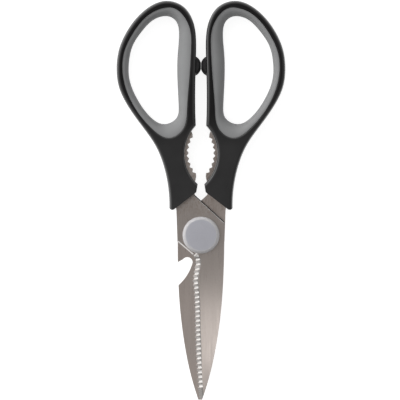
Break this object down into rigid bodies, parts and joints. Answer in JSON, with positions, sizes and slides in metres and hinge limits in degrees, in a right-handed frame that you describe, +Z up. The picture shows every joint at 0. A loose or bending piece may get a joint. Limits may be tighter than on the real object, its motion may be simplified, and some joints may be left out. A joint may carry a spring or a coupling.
{
  "type": "kitchen shears",
  "caption": "Kitchen shears with a serrated blade, a bone notch, a toothed gripper between the handles and soft-lined finger loops, turning on one pivot.",
  "frame": {"origin": "on the pivot axis, at the flat face of the rear cap that lies on the table", "axes": "+Y from the pivot towards the finger loops, -Y towards the points; +Z up out of the table, along the pivot axis towards the front cap; +X to the right with the serrated blade on top"},
  "size_m": [0.0912, 0.2159, 0.0124],
  "materials": {
    "blade_steel": "brushed",
    "bolt_steel": "satin",
    "black_handle": "satin moulded plastic",
    "grey_lining": "matt soft lining",
    "black_rubber": "matt rubber",
    "grey_cap": "satin translucent plastic"
  },
  "bodies": {
    "rear_half": {"rear_blade": "blade_steel", "right_handle_shell": "black_handle", "right_grip": "grey_lining", "right_bumper": "black_rubber", "pivot_bolt": "bolt_steel", "pivot_nut": "bolt_steel", "disc_spring": "bolt_steel", "front_cap": "grey_cap", "rear_cap": "grey_cap"},
    "front_half": {"front_blade": "blade_steel", "left_handle_shell": "black_handle", "left_grip": "grey_lining", "left_bumper": "black_rubber"}
  },
  "joints": [
    {"name": "pivot", "type": "hinge", "parent": "rear_half", "child": "front_half", "pos_m": [0, 0, 0.0062], "axis": [0, 0, 1], "range_deg": [0, 90]}
  ]
}
